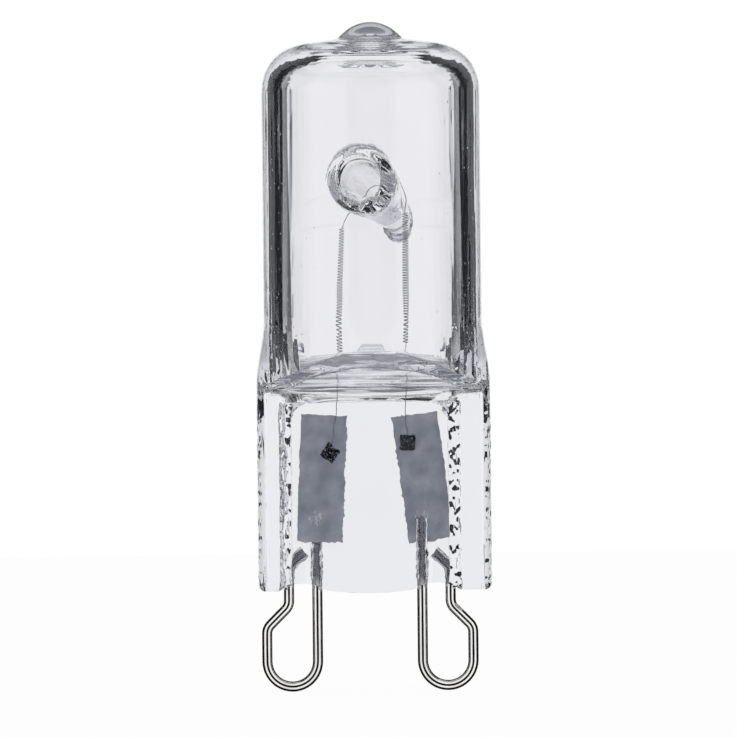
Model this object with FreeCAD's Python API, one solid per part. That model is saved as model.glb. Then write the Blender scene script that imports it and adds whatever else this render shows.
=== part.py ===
import FreeCAD, Part
import math
import os

# A mains-voltage halogen capsule bulb with a two-loop plug-in base.
# The frame: Z runs up the bulb, X runs across the two contact pins and Y runs through the flat pinch.
# The origin is the middle of the pinch's foot, where the bulb seats on its holder. All sizes are millimetres.

Vector = FreeCAD.Vector
UP = Vector(0, 0, 1)
ACROSS = Vector(1, 0, 0)
THROUGH = Vector(0, 1, 0)
LEFT, RIGHT = -1, 1
FRONT, BACK = -1, 1

# Quartz bulb: a tube closed by a flattened crown
BULB_D = 14.0
WALL = 1.2
CHAMBER_H = 20.95
CROWN_R = 26.0
KNUCKLE_R = 2.9

# Tip where the exhaust tube was melted off, and the stub of its bore left under the tip
TIP_R = 2.55
TIP_HEIGHT = 1.07
TIP_FILLET = 0.5
STUB_MOUTH_D = 1.9
STUB_END_D = 0.5
STUB_DEPTH = 1.15

# Pinch: the tube's foot pressed flat between two jaws, with a thick rim left along each side
PINCH_SPREAD = 0.5
PINCH_DRAW_IN = 0.6
PANEL_T = 3.0
PANEL_DEPTH = 0.9
PANEL_SLOPE = 0.85
PANEL_OVERRUN = 0.1
PANEL_OFFSET_X = -0.28
PANEL_CORNER_R = 1.0
RIM_W = 1.65
RIM_FOOT_R = 0.45
PINCH_EDGE_R = 0.25
FLARE_L = 4.2
FLARE_STEPS = 4

# Shoulder that the jaws press, below the chamber, and the chamber's own closed end
LEDGE_DROP = 0.25
LEDGE_R = 0.5
PANEL_DROP = 1.0
SHOULDER_RISE = 2.1
SHOULDER_SAG = 0.55
CHAMBER_FOOT_RISE = 2.15
CHAMBER_FOOT_SAG = 0.5

# Tapered glass post across the chamber, pressed in by a deep dimple from the front and a shallow one behind
POST_X = 0.62
POST_RISE = 11.7
POST_LEAN_X = 0.215
POST_LEAN_Z = -0.19
POST_FRONT_D = 3.9
POST_BACK_D = 1.9
POST_ROOT_R = 0.25
DIMPLE_TIP_D = 0.9
DIMPLE_FLARE = 0.12
FRONT_DIMPLE_D, FRONT_DIMPLE_DEPTH = 2.8, 9.4
BACK_DIMPLE_D, BACK_DIMPLE_DEPTH = 2.4, 2.4

# Contact pins: round wire bent to a loop, with both ends held in the pinch
PIN_WIRE_D = 0.66
PINS_OFFSET_X = -0.36
PINS_APART = 6.74
PIN_LOOP_W = 3.25
PIN_NECK_W = 1.82
PIN_REACH = 6.53
PIN_KNEE_DROP = 2.45
PIN_KNEE_R = 0.8
PIN_HOOK_R = 0.5
PIN_HOOK_GAP = 0.12
PIN_HOOK_CLEARANCE = 0.17
PIN_WELD_L = 1.5
PIN_FLAT_DEPTH = 0.13
PIN_FLAT_MARGIN = 0.1

# Foot of the glass: an arch over each pin and a lobe hanging between them
FOOT_ARCH_RISE = 0.45
FOOT_LOBE_DROP = 0.2
FOOT_ARCH_MARGIN = 0.3

# Molybdenum sealing foils, which lie in the pinch between the pins and the filament
FOIL_W = 2.95
FOIL_L = 8.15
FOIL_T = 0.03
FOIL_FOOT_Z = 3.1
FOIL_COVER = 2.0
LEFT_FOIL_X, LEFT_FOIL_LEAN = -3.36, 2.5
RIGHT_FOIL_X, RIGHT_FOIL_LEAN = 3.13, -7.5

# Tabs that weld the filament's tails to the foils, placed from the middle of each foil
TAB_SIDE = 1.0
TAB_T = 0.12
LEFT_TAB_ACROSS, LEFT_TAB_UP, LEFT_TAB_TURN = 0.46, 1.65, 32.0
RIGHT_TAB_ACROSS, RIGHT_TAB_UP, RIGHT_TAB_TURN = -0.67, 2.33, 11.0

# Tungsten filament: two coiled limbs hung over the post on plain wire, with a plain tail below each limb
FILAMENT_WIRE_D = 0.1
COIL_D = 0.36
LEFT_COIL_X, LEFT_COIL_RISE = -2.24, 2.4
LEFT_COIL_STANDOFF, LEFT_COIL_HANG = 1.03, 1.75
RIGHT_COIL_X, RIGHT_COIL_RISE = 2.2, 3.05
RIGHT_COIL_STANDOFF, RIGHT_COIL_HANG = 0.01, 0.8
LEFT_TAIL_X, RIGHT_TAIL_X = -2.4, 2.03
TAIL_BEND_R = 0.6
TAIL_SINK = 0.02
POST_CLEARANCE = 0.05

BULB_R = BULB_D / 2
PINCH_R = BULB_R + PINCH_SPREAD
CHAMBER_R = BULB_R - WALL
RIM_T = PANEL_T + 2 * PANEL_DEPTH
PIN_R = PIN_WIRE_D / 2
PIN_INNER_X = PINS_APART / 2
PIN_OUTER_X = PIN_INNER_X + PIN_LOOP_W
PIN_NECK_X = PIN_INNER_X + PIN_NECK_W
WIRE_R = FILAMENT_WIRE_D / 2

# Heights, stacked up from the pinch's foot: the foils, their cover of solid quartz, then the chamber
FOIL_TOP_Z = FOIL_FOOT_Z + FOIL_L
SEAL_Z = FOIL_TOP_Z + FOIL_COVER
LEDGE_Z = SEAL_Z - LEDGE_DROP
PANEL_TOP_Z = LEDGE_Z - PANEL_DROP
CHAMBER_TOP_Z = SEAL_Z + CHAMBER_H
CROWN_TOP_Z = CHAMBER_TOP_Z + WALL
FLARE_TOP_Z = SEAL_Z + FLARE_L

POST_MIDDLE = Vector(POST_X, 0, SEAL_Z + POST_RISE)
POST_AXIS = Vector(POST_LEAN_X, 1, POST_LEAN_Z).normalize()
# The leaning post is cut aslant, halfway along its taper, by the plane that the filament hangs in
POST_REACH = (POST_FRONT_D + POST_BACK_D) / 4 / POST_AXIS.y

# The foils lie on flats pressed on the pins: the left one in front of its pin, the right one behind it
FOIL_FACE_Y = PIN_R - PIN_FLAT_DEPTH
FOIL_Y = FOIL_FACE_Y + FOIL_T / 2

# More than any size here, for tools that have to pass right through the glass
BEYOND = 2 * (BULB_D + CROWN_TOP_Z)
# Less than any size here, for telling edges apart
TINY = FOIL_T / 3


def flat_point(x, z):
    """A point of the plane through both pins."""
    return Vector(x, 0, z)


def side_point(y, z):
    """A point of the plane that cuts the bulb from front to back."""
    return Vector(0, y, z)


def line(start, end):
    return Part.LineSegment(start, end).toShape()


def arc(start, middle, end):
    return Part.Arc(start, middle, end).toShape()


def closed_face(edges):
    return Part.Face(Part.Wire(edges))


def cove(start, end, sag):
    """An arc from start to end that hangs below its chord by sag, in a plane that holds Z."""
    chord = end - start
    level = Vector(chord.x, chord.y, 0).normalize()
    below = (level * chord.z - UP * level.dot(chord)).normalize()
    return arc(start, (start + end) / 2 + below * sag, end)


def rounded_path(points, radii):
    """Straight runs through the points, with each corner between them rounded to its own radius."""
    edges = []
    begin = points[0]
    for before, corner, after, radius in zip(points, points[1:], points[2:], radii):
        back = (before - corner).normalize()
        ahead = (after - corner).normalize()
        half_angle = back.getAngle(ahead) / 2
        run_in = corner + back * (radius / math.tan(half_angle))
        run_out = corner + ahead * (radius / math.tan(half_angle))
        middle = (back + ahead).normalize()
        centre = corner + middle * (radius / math.sin(half_angle))
        edges.append(line(begin, run_in))
        edges.append(arc(run_in, centre - middle * radius, run_out))
        begin = run_out
    edges.append(line(begin, points[-1]))
    return edges


def round_wire(edges, radius):
    """A round wire drawn along a chain of tangent edges."""
    start = edges[0].valueAt(edges[0].FirstParameter)
    heading = edges[0].tangentAt(edges[0].FirstParameter)
    section = Part.Face(Part.Wire(Part.makeCircle(radius, start, heading)))
    return Part.Wire(edges).makePipe(section)


def dome_edges(radius, knuckle_r, crown_r, top_z):
    """The knuckle and the crown of a flattened dome, from the tube's wall up to the axis."""
    crown_centre_z = top_z - crown_r
    knuckle_x = radius - knuckle_r
    knuckle_z = crown_centre_z + math.sqrt((crown_r - knuckle_r) ** 2 - knuckle_x**2)
    lean = math.atan2(knuckle_x, knuckle_z - crown_centre_z)
    half_turn = (lean + math.pi / 2) / 2

    def on_knuckle(angle):
        return flat_point(knuckle_x + knuckle_r * math.sin(angle), knuckle_z + knuckle_r * math.cos(angle))

    def on_crown(angle):
        return flat_point(crown_r * math.sin(angle), crown_centre_z + crown_r * math.cos(angle))

    wall_top = flat_point(radius, knuckle_z)
    knuckle = arc(wall_top, on_knuckle(half_turn), on_crown(lean))
    crown = arc(on_crown(lean), on_crown(lean / 2), flat_point(0, top_z))
    return wall_top, [knuckle, crown]


def revolved(edges, axis_top, axis_foot):
    """A body turned about Z from an outline that runs from the foot of the axis out and up to its top."""
    return closed_face(edges + [line(axis_top, axis_foot)]).revolve(Vector(), UP, 360)


def bulb_blank():
    """The bulb's outside before pinching: the tube, spread sideways at its foot, with its crown and tip."""
    foot_z = -FOOT_LOBE_DROP
    wall_top, dome = dome_edges(BULB_R, KNUCKLE_R, CROWN_R, CROWN_TOP_Z)
    outline = [
        line(flat_point(0, FLARE_TOP_Z), flat_point(BULB_R, FLARE_TOP_Z)),
        line(flat_point(BULB_R, FLARE_TOP_Z), wall_top),
    ]
    tube = revolved(outline + dome, flat_point(0, CROWN_TOP_Z), flat_point(0, FLARE_TOP_Z))
    flare = Part.makeLoft([flare_section(step / FLARE_STEPS) for step in range(FLARE_STEPS + 1)], True)
    foot = Part.Face(flare_section(0)).extrude(UP * (foot_z - SEAL_Z))
    tip = Part.makeSphere(TIP_R, Vector(0, 0, CROWN_TOP_Z + TIP_HEIGHT - TIP_R))
    with_tip = tube.fuse([flare, foot, tip]).removeSplitter()
    seam = [edge for edge in with_tip.Edges if is_tip_seam(edge)]
    return with_tip.makeFillet(TIP_FILLET, seam)


def flare_section(share):
    """The oval section of the tube's foot, at a share of the way up from the pinch to the round tube."""
    eased = share * share * (3 - 2 * share)
    half_x = BULB_R + PINCH_SPREAD * (1 - eased)
    half_y = BULB_R - PINCH_DRAW_IN * (1 - eased)
    oval = FreeCAD.Matrix()
    oval.scale(half_x, half_y, 1)
    oval.move(0, 0, SEAL_Z + FLARE_L * share)
    return Part.Wire(Part.makeCircle(1).transformGeometry(oval).Edges)


def is_tip_seam(edge):
    """True for the circle where the melted tip stands on the crown."""
    box = edge.BoundBox
    return box.ZLength < TINY and box.ZMin > CROWN_TOP_Z - WALL and box.XLength > TIP_R


def jaw(side):
    """The space that one pinching jaw takes: up along the rims' face, then out over the shoulder."""
    rim_y = side * RIM_T / 2
    edge_y = side * PINCH_R
    far_y = side * BEYOND
    foot_z = -BEYOND
    ledge = side_point(rim_y, LEDGE_Z)
    shoulder = side_point(edge_y, LEDGE_Z + SHOULDER_RISE)
    outline = [
        line(side_point(rim_y, foot_z), ledge),
        cove(ledge, shoulder, SHOULDER_SAG),
        line(shoulder, side_point(far_y, shoulder.z)),
        line(side_point(far_y, shoulder.z), side_point(far_y, foot_z)),
        line(side_point(far_y, foot_z), side_point(rim_y, foot_z)),
    ]
    block = closed_face(outline).extrude(ACROSS * 2 * BEYOND).translated(ACROSS * -BEYOND)
    ledge_edges = [edge for edge in block.Edges if is_along(edge, ledge)]
    return block.makeFillet(LEDGE_R, ledge_edges)


def is_along(edge, point):
    """True for an edge that runs across the bulb through a point of the front-to-back plane."""
    box = edge.BoundBox
    return box.XLength > BEYOND and abs(box.Center.y - point.y) < TINY and abs(box.Center.z - point.z) < TINY


def panel_outline(half_width, top_z, y):
    """One end of a panel recess: open below, with rounded top corners."""
    turn = PANEL_CORNER_R * (1 - math.sqrt(0.5))
    foot_z = -FOOT_LOBE_DROP - WALL

    def at(x, z):
        return Vector(PANEL_OFFSET_X + x, y, z)

    corner_x = half_width - PANEL_CORNER_R
    corner_z = top_z - PANEL_CORNER_R
    return Part.Wire([
        line(at(-half_width, foot_z), at(-half_width, corner_z)),
        arc(at(-half_width, corner_z), at(turn - half_width, top_z - turn), at(-corner_x, top_z)),
        line(at(-corner_x, top_z), at(corner_x, top_z)),
        arc(at(corner_x, top_z), at(half_width - turn, top_z - turn), at(half_width, corner_z)),
        line(at(half_width, corner_z), at(half_width, foot_z)),
        line(at(half_width, foot_z), at(-half_width, foot_z)),
    ])


def panel_recess(side):
    """The recess between the rims on one face of the pinch, its sloped sides ending just past the rims."""
    floor_y = side * PANEL_T / 2
    depth = PANEL_DEPTH + PANEL_OVERRUN
    spread = PANEL_SLOPE * depth / PANEL_DEPTH
    floor_x = PINCH_R - RIM_W - PANEL_SLOPE
    floor = panel_outline(floor_x, PANEL_TOP_Z, floor_y)
    mouth = panel_outline(floor_x + spread, PANEL_TOP_Z + spread, floor_y + side * depth)
    return Part.makeLoft([floor, mouth], True, True)


def foot_cut():
    """What is missing under the foot: rims with rounded ends, an arch over each pin, a lobe between."""
    def at(x, z):
        return Vector(x, -BEYOND, z)

    lobe = PIN_INNER_X - PIN_R - FOOT_ARCH_MARGIN
    lobe_left = at(PINS_OFFSET_X - lobe, 0)
    lobe_right = at(PINS_OFFSET_X + lobe, 0)
    edges = [
        line(at(-BEYOND, -BEYOND), at(-BEYOND, RIM_FOOT_R)),
        *rim_foot(LEFT, at),
        arc(lobe_left, at(PINS_OFFSET_X, -FOOT_LOBE_DROP), lobe_right),
        *reversed(rim_foot(RIGHT, at)),
        line(at(BEYOND, RIM_FOOT_R), at(BEYOND, -BEYOND)),
        line(at(BEYOND, -BEYOND), at(-BEYOND, -BEYOND)),
    ]
    return closed_face(edges).extrude(THROUGH * 2 * BEYOND)


def rim_foot(side, at):
    """The outline under one rim and its pin, from outside the pinch in to the lobe."""
    arch_inner = PINS_OFFSET_X + side * (PIN_INNER_X - PIN_R - FOOT_ARCH_MARGIN)
    arch_outer = PINS_OFFSET_X + side * (PIN_NECK_X + PIN_R + FOOT_ARCH_MARGIN)
    rim_x = side * PINCH_R
    end_x = rim_x - side * RIM_FOOT_R
    turn = RIM_FOOT_R * (1 - math.sqrt(0.5))
    return [
        line(at(side * BEYOND, RIM_FOOT_R), at(rim_x, RIM_FOOT_R)),
        arc(at(rim_x, RIM_FOOT_R), at(rim_x - side * turn, turn), at(end_x, 0)),
        line(at(end_x, 0), at(arch_outer, 0)),
        arc(at(arch_outer, 0), at((arch_outer + arch_inner) / 2, FOOT_ARCH_RISE), at(arch_inner, 0)),
    ]


def chamber():
    """The gas space: the tube's bore under its crown, closed by the pinch, with the exhaust stub above."""
    wall_top, dome = dome_edges(CHAMBER_R, KNUCKLE_R - WALL, CROWN_R - WALL, CHAMBER_TOP_Z)
    top = flat_point(0, CHAMBER_TOP_Z)
    foot = flat_point(0, SEAL_Z - WALL)
    outline = [
        line(foot, flat_point(CHAMBER_R, SEAL_Z - WALL)),
        line(flat_point(CHAMBER_R, SEAL_Z - WALL), wall_top),
    ]
    bore = revolved(outline + dome, top, foot)

    def edge_point(side, z):
        return side_point(side * CHAMBER_R, z)

    seal = side_point(0, SEAL_Z)
    foot_edge_z = SEAL_Z + CHAMBER_FOOT_RISE
    above_pinch = [
        cove(seal, edge_point(RIGHT, foot_edge_z), CHAMBER_FOOT_SAG),
        line(edge_point(RIGHT, foot_edge_z), edge_point(RIGHT, BEYOND)),
        line(edge_point(RIGHT, BEYOND), edge_point(LEFT, BEYOND)),
        line(edge_point(LEFT, BEYOND), edge_point(LEFT, foot_edge_z)),
        cove(edge_point(LEFT, foot_edge_z), seal, CHAMBER_FOOT_SAG),
    ]
    clear = closed_face(above_pinch).extrude(ACROSS * 2 * BEYOND).translated(ACROSS * -BEYOND)
    stub = Part.makeCone(STUB_MOUTH_D / 2, STUB_END_D / 2, STUB_DEPTH, top - UP * (WALL / 4))
    return bore.common(clear).fuse(stub)


def along_post(outline):
    """A body turned about the post's axis. The outline's X is the radius and its Z runs along the axis."""
    body = closed_face(outline).revolve(Vector(), UP, 360)
    body.Placement = FreeCAD.Placement(POST_MIDDLE, FreeCAD.Rotation(UP, POST_AXIS))
    return body


def post():
    """The post between the dimples: a long taper that widens to a root at each wall."""
    half_span = BULB_R + WALL
    neck = CHAMBER_R - POST_ROOT_R
    front_r, back_r = POST_FRONT_D / 2, POST_BACK_D / 2
    edges = [
        *reversed(root(FRONT, front_r, half_span)),
        line(flat_point(front_r, -neck), flat_point(back_r, neck)),
        *root(BACK, back_r, half_span),
        line(flat_point(0, half_span), flat_point(0, -half_span)),
    ]
    return along_post(edges)


def root(side, neck_r, half_span):
    """The outline of the post's root in one wall, from its neck out to the post's axis."""
    turn = POST_ROOT_R * (1 - math.sqrt(0.5))
    root_r = neck_r + POST_ROOT_R

    def at(radius, reach):
        return flat_point(radius, side * reach)

    return [
        arc(at(neck_r, CHAMBER_R - POST_ROOT_R), at(neck_r + turn, CHAMBER_R - turn), at(root_r, CHAMBER_R)),
        line(at(root_r, CHAMBER_R), at(root_r, half_span)),
        line(at(root_r, half_span), at(0, half_span)),
    ]


def dimple(side, mouth_d, depth):
    """The tapered hollow left in one end of the post, with a round bottom and a flared mouth."""
    tip_r = DIMPLE_TIP_D / 2
    mouth_r = mouth_d / 2
    bottom = side * (BULB_R - depth)
    shoulder = bottom + side * tip_r
    lip = side * BULB_R
    outside = side * (BULB_R + WALL)
    flank = math.sqrt(0.5) * tip_r
    edges = [
        arc(flat_point(0, bottom), flat_point(flank, shoulder - side * flank), flat_point(tip_r, shoulder)),
        cone_wall(flat_point(tip_r, shoulder), flat_point(mouth_r, lip), DIMPLE_FLARE),
        line(flat_point(mouth_r, lip), flat_point(mouth_r, outside)),
        line(flat_point(mouth_r, outside), flat_point(0, outside)),
        line(flat_point(0, outside), flat_point(0, bottom)),
    ]
    return along_post(edges)


def cone_wall(start, end, sag):
    """The dimple's side: an arc bowed towards the axis, so that the mouth opens like a trumpet."""
    chord = end - start
    inward = Vector(-abs(chord.z), 0, math.copysign(chord.x, chord.z)).normalize()
    return arc(start, (start + end) / 2 + inward * sag, end)


def glass_envelope(sealed_in):
    """The whole quartz body in one piece, sealed round the pieces that the pinch holds."""
    outside = bulb_blank()
    for side in (LEFT, RIGHT):
        outside = outside.cut(jaw(side))
    outside = outside.removeSplitter()
    # Each rim's edge runs smoothly on over the shoulder, so that its rounding goes all the way along
    rim_edges = [edge for edge in outside.Edges if is_rim_edge(edge)]
    outside = outside.makeFillet(PINCH_EDGE_R, rim_edges)
    for side in (LEFT, RIGHT):
        outside = outside.cut(panel_recess(side))
    outside = outside.cut(foot_cut())
    gas_space = chamber().cut(post())
    dimples = [
        dimple(FRONT, FRONT_DIMPLE_D, FRONT_DIMPLE_DEPTH),
        dimple(BACK, BACK_DIMPLE_D, BACK_DIMPLE_DEPTH),
    ]
    return outside.cut([gas_space] + dimples + sealed_in)


def is_rim_edge(edge):
    """True for the four upright edges of the pinch, where a jaw's face meets the tube's side."""
    box = edge.BoundBox
    upright = box.XLength < TINY and box.YLength < TINY
    return upright and box.ZLength > PANEL_TOP_Z / 2 and abs(box.YMin) > PANEL_T / 2


def contact_pin(side, welded_foil):
    """One loop of the plug, with a flat on its inner leg where the foil is welded."""
    def at(x, z):
        return flat_point(PINS_OFFSET_X + side * x, z)

    loop_r = PIN_LOOP_W / 2
    lowest_z = PIN_R - PIN_REACH
    loop_z = lowest_z + loop_r
    top_z = FOIL_FOOT_Z + PIN_WELD_L
    neck_z = PIN_OUTER_X - PIN_NECK_X - PIN_KNEE_DROP
    hook_x = PIN_INNER_X + PIN_WIRE_D + PIN_HOOK_GAP
    hook_end_z = welded_foil.BoundBox.ZMin - PIN_R - PIN_HOOK_CLEARANCE
    hook_z = hook_end_z - (PIN_NECK_X - hook_x)
    inner_leg = [
        line(at(PIN_INNER_X, top_z), at(PIN_INNER_X, loop_z)),
        arc(at(PIN_INNER_X, loop_z), at(PIN_INNER_X + loop_r, lowest_z), at(PIN_OUTER_X, loop_z)),
    ]
    outer_leg = [
        at(PIN_OUTER_X, loop_z),
        at(PIN_OUTER_X, -PIN_KNEE_DROP),
        at(PIN_NECK_X, neck_z),
        at(PIN_NECK_X, hook_z),
        at(hook_x, hook_end_z),
    ]
    path = inner_leg + rounded_path(outer_leg, [PIN_KNEE_R, PIN_KNEE_R, PIN_HOOK_R])
    pin = round_wire(path, PIN_R)
    flat_foot_z = welded_foil.BoundBox.ZMin - PIN_FLAT_MARGIN
    flat = Part.makeBox(2 * PIN_WIRE_D, PIN_WIRE_D, 2 * (top_z - flat_foot_z))
    flat_y = FOIL_FACE_Y if welded_foil.CenterOfMass.y > 0 else -FOIL_FACE_Y - PIN_WIRE_D
    flat.translate(at(PIN_INNER_X, flat_foot_z) + Vector(-PIN_WIRE_D, flat_y, 0))
    return pin.cut(flat)


def on_foil(x, lean, foil_side):
    """The place of a foil: its middle, turned to lean in its own plane."""
    middle = Vector(x, foil_side * FOIL_Y, FOIL_FOOT_Z + FOIL_L / 2)
    return FreeCAD.Placement(middle, FreeCAD.Rotation(THROUGH, lean))


def foil(place):
    """One sealing foil."""
    sheet = Part.makeBox(FOIL_W, FOIL_T, FOIL_L, Vector(-FOIL_W / 2, -FOIL_T / 2, -FOIL_L / 2))
    sheet.Placement = place.multiply(sheet.Placement)
    return sheet


def weld_tab(place, across, up, turn):
    """A square tab on the front of a foil, away from its middle by across and up."""
    seat = Vector(across, -FOIL_T / 2, up)
    tab = Part.makeBox(TAB_SIDE, TAB_T, TAB_SIDE, Vector(-TAB_SIDE / 2, -TAB_T, -TAB_SIDE / 2))
    on_seat = FreeCAD.Placement(seat, FreeCAD.Rotation(THROUGH, turn))
    tab.Placement = place.multiply(on_seat).multiply(tab.Placement)
    return tab


def tail(tab, tail_x, coil_foot, welds):
    """The plain wire from a weld tab, up over the foil and out of the pinch, to the foot of a coil."""
    foil_front_y = tab.BoundBox.YMax
    lying_y = foil_front_y - WIRE_R + TAIL_SINK
    points = [
        Vector(tab.CenterOfMass.x, lying_y, tab.CenterOfMass.z),
        Vector(tail_x, lying_y, FOIL_TOP_Z),
        coil_foot + UP * COIL_D,
    ]
    return round_wire(rounded_path(points, [TAIL_BEND_R]), WIRE_R).cut(welds)


def coil(foot, top):
    """One coiled limb of the filament, as the round bar that its turns fill."""
    return Part.makeCylinder(COIL_D / 2, (top - foot).Length, foot, top - foot)


def tangent_point(outside_point, radius, side):
    """Where a straight wire from a point outside touches a circle round the post."""
    spoke = outside_point - POST_MIDDLE
    opening = math.acos(radius / spoke.Length)
    heading = math.atan2(spoke.z, spoke.x) + side * opening
    return POST_MIDDLE + flat_point(math.cos(heading), math.sin(heading)) * radius


def bridge(left_top, right_top):
    """The plain wire that carries both limbs over the post."""
    radius = POST_REACH + WIRE_R + POST_CLEARANCE
    left_touch = tangent_point(left_top, radius, LEFT)
    right_touch = tangent_point(right_top, radius, RIGHT)
    path = [
        line(left_top, left_touch),
        arc(left_touch, POST_MIDDLE + UP * radius, right_touch),
        line(right_touch, right_top),
    ]
    return round_wire(path, WIRE_R)


def limb_ends(side, foot_x, rise, standoff, hang):
    """The foot and the top of one coiled limb, which hangs beside the post."""
    foot = flat_point(foot_x, SEAL_Z + rise)
    top = POST_MIDDLE + flat_point(side * (POST_REACH + standoff), -hang)
    return foot, top


def main():
    left_place = on_foil(LEFT_FOIL_X, LEFT_FOIL_LEAN, LEFT)
    right_place = on_foil(RIGHT_FOIL_X, RIGHT_FOIL_LEAN, RIGHT)
    left_foil = foil(left_place)
    right_foil = foil(right_place)
    left_tab = weld_tab(left_place, LEFT_TAB_ACROSS, LEFT_TAB_UP, LEFT_TAB_TURN)
    right_tab = weld_tab(right_place, RIGHT_TAB_ACROSS, RIGHT_TAB_UP, RIGHT_TAB_TURN)
    left_pin = contact_pin(LEFT, left_foil)
    right_pin = contact_pin(RIGHT, right_foil)

    left_foot, left_top = limb_ends(
        LEFT, LEFT_COIL_X, LEFT_COIL_RISE, LEFT_COIL_STANDOFF, LEFT_COIL_HANG
    )
    right_foot, right_top = limb_ends(
        RIGHT, RIGHT_COIL_X, RIGHT_COIL_RISE, RIGHT_COIL_STANDOFF, RIGHT_COIL_HANG
    )
    welds = [left_foil, right_foil, left_tab, right_tab]
    left_tail = tail(left_tab, LEFT_TAIL_X, left_foot, welds)
    right_tail = tail(right_tab, RIGHT_TAIL_X, right_foot, welds)
    limbs = [coil(left_foot, left_top), coil(right_foot, right_top)]
    filament = left_tail.fuse(limbs + [bridge(left_top, right_top), right_tail])

    sealed_in = welds + [left_tail, right_tail, left_pin, right_pin]
    nodes = {
        "glass_envelope": glass_envelope(sealed_in),
        "filament": filament,
        "left_foil": left_foil,
        "right_foil": right_foil,
        "left_weld_tab": left_tab,
        "right_weld_tab": right_tab,
        "left_contact_pin": left_pin,
        "right_contact_pin": right_pin,
    }
    os.makedirs("parts", exist_ok=True)
    for name, shape in nodes.items():
        shape.exportStep(os.path.join("parts", name + ".step"))
        print(name, "solids", len(shape.Solids), "valid", shape.isValid(), "volume", round(shape.Volume, 3))


main()
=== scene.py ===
import math
import random

import bmesh
import bpy
from mathutils import Matrix, Vector, noise


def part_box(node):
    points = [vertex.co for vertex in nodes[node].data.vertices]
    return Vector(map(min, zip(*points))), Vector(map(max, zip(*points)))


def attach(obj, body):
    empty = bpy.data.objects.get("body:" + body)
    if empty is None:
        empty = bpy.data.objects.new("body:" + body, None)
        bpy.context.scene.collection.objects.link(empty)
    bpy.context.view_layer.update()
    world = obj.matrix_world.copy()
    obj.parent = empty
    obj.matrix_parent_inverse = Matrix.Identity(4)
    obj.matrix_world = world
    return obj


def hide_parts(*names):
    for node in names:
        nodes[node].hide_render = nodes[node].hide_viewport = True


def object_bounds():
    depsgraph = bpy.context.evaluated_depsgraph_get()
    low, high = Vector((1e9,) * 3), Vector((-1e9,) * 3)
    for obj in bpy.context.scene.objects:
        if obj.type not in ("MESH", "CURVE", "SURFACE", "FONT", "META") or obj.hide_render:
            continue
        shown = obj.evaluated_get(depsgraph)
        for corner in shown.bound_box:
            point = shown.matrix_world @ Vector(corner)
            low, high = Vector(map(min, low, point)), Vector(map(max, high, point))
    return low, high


# A halogen capsule bulb: a quartz body with a pressed pinch, a filament, sealing foils and two wire loops.
# Z runs up the bulb, X across the two loops and Y through the flat pinch. Lengths are metres.

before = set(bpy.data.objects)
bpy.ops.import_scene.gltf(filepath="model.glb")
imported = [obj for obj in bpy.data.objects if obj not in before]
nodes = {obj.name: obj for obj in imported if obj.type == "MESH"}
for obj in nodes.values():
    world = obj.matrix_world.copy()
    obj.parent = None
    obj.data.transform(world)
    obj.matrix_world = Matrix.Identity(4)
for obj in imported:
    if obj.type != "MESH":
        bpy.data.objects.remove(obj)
cad_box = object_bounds()

MM = 0.001
LEFT, RIGHT = -1, 1
UP = Vector((0, 0, 1))
THROUGH = Vector((0, 1, 0))
BODY = "root"

# Quartz body
TUBE_R = 7.0 * MM
WALL = 1.2 * MM
BORE_R = TUBE_R - WALL
KNUCKLE_R = 2.9 * MM
KNUCKLE_FOOT_Z = 31.4 * MM
CROWN_R = 26.0 * MM
CROWN_TOP_Z = 35.4 * MM
TIP_FOOT_Z = 33.6 * MM
TIP_OUT = 3.4 * MM
LEDGE_Z = 13.0 * MM
PANEL_TOP_Z = 12.0 * MM
PANEL_X = -0.28 * MM
PANEL_Y = 1.5 * MM
RIM_Y = 2.4 * MM
RIM_EDGE_X = 7.25 * MM
SLOPE_X = 5.425 * MM
SLOPE_HALF_W = 0.45 * MM
LEDGE_IN_Y, LEDGE_OUT_Y = PANEL_Y - 0.1 * MM, RIM_Y + 0.5 * MM
LEDGE_HALF_H = 1.1 * MM
SHOULDER_Y = RIM_Y - 0.1 * MM
SHOULDER_TOP_Z = 15.3 * MM
CHAMBER_FLOOR_R = BORE_R - 0.3 * MM
FLARE_TOP_Z = 17.45 * MM
FLARE_SIDE_X = 4.2 * MM
FLARE_R = 6.4 * MM
CREASE_FOOT_Z, CREASE_TOP_Z = LEDGE_Z + 0.3 * MM, 20 * MM
CREASE_HALF_Y = 6 * MM
LEANING = 0.3
SEALED_X = 6.3 * MM
SEALED_Y = 0.6 * MM
SEALED_TOP_Z = 13.1 * MM
FOOT_Z = 0.6 * MM
SHARP_ANGLE = math.radians(34)
FACET_DEPTH = 0.04 * MM
MERGE = 0.001 * MM

# Bubbles, and the long one in the right rim
BUBBLES = 240
BUBBLE_SPREAD = 0.35
BUBBLE_CROWDING = 1.8
BUBBLE_FROM_BORE, BUBBLE_FROM_SKIN = 0.25 * MM, 0.2 * MM
BUBBLE_LEAST_R, BUBBLE_MOST_R = 0.02 * MM, 0.05 * MM
BUBBLE_STRETCH = 2.6
AIR_LINE_X = 6.93 * MM
AIR_LINE_R = 0.06 * MM
AIR_LINE_FOOT_Z, AIR_LINE_TOP_Z = 5.4 * MM, 13.1 * MM

# How finely each region of the glass is cut, so that its melted and crinkled form can be worked
TUBE_CUT = 1.2 * MM
KNUCKLE_CUT = 0.14 * MM
ROOT_CUT = 0.3 * MM
SLOPE_CUT = 0.09 * MM
RIM_CUT = 0.12 * MM
SHOULDER_CUT_Y, SHOULDER_CUT_X = 0.2 * MM, 0.4 * MM
FLOOR_CUT_Y, FLOOR_CUT_X = 0.15 * MM, 0.5 * MM
LEDGE_CUT_Z, LEDGE_CUT_X = 0.12 * MM, 0.35 * MM
CREASE_CUT_Z, CREASE_CUT_Y = 0.22 * MM, 0.3 * MM
CUT_FROM_Z = -0.2 * MM

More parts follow.
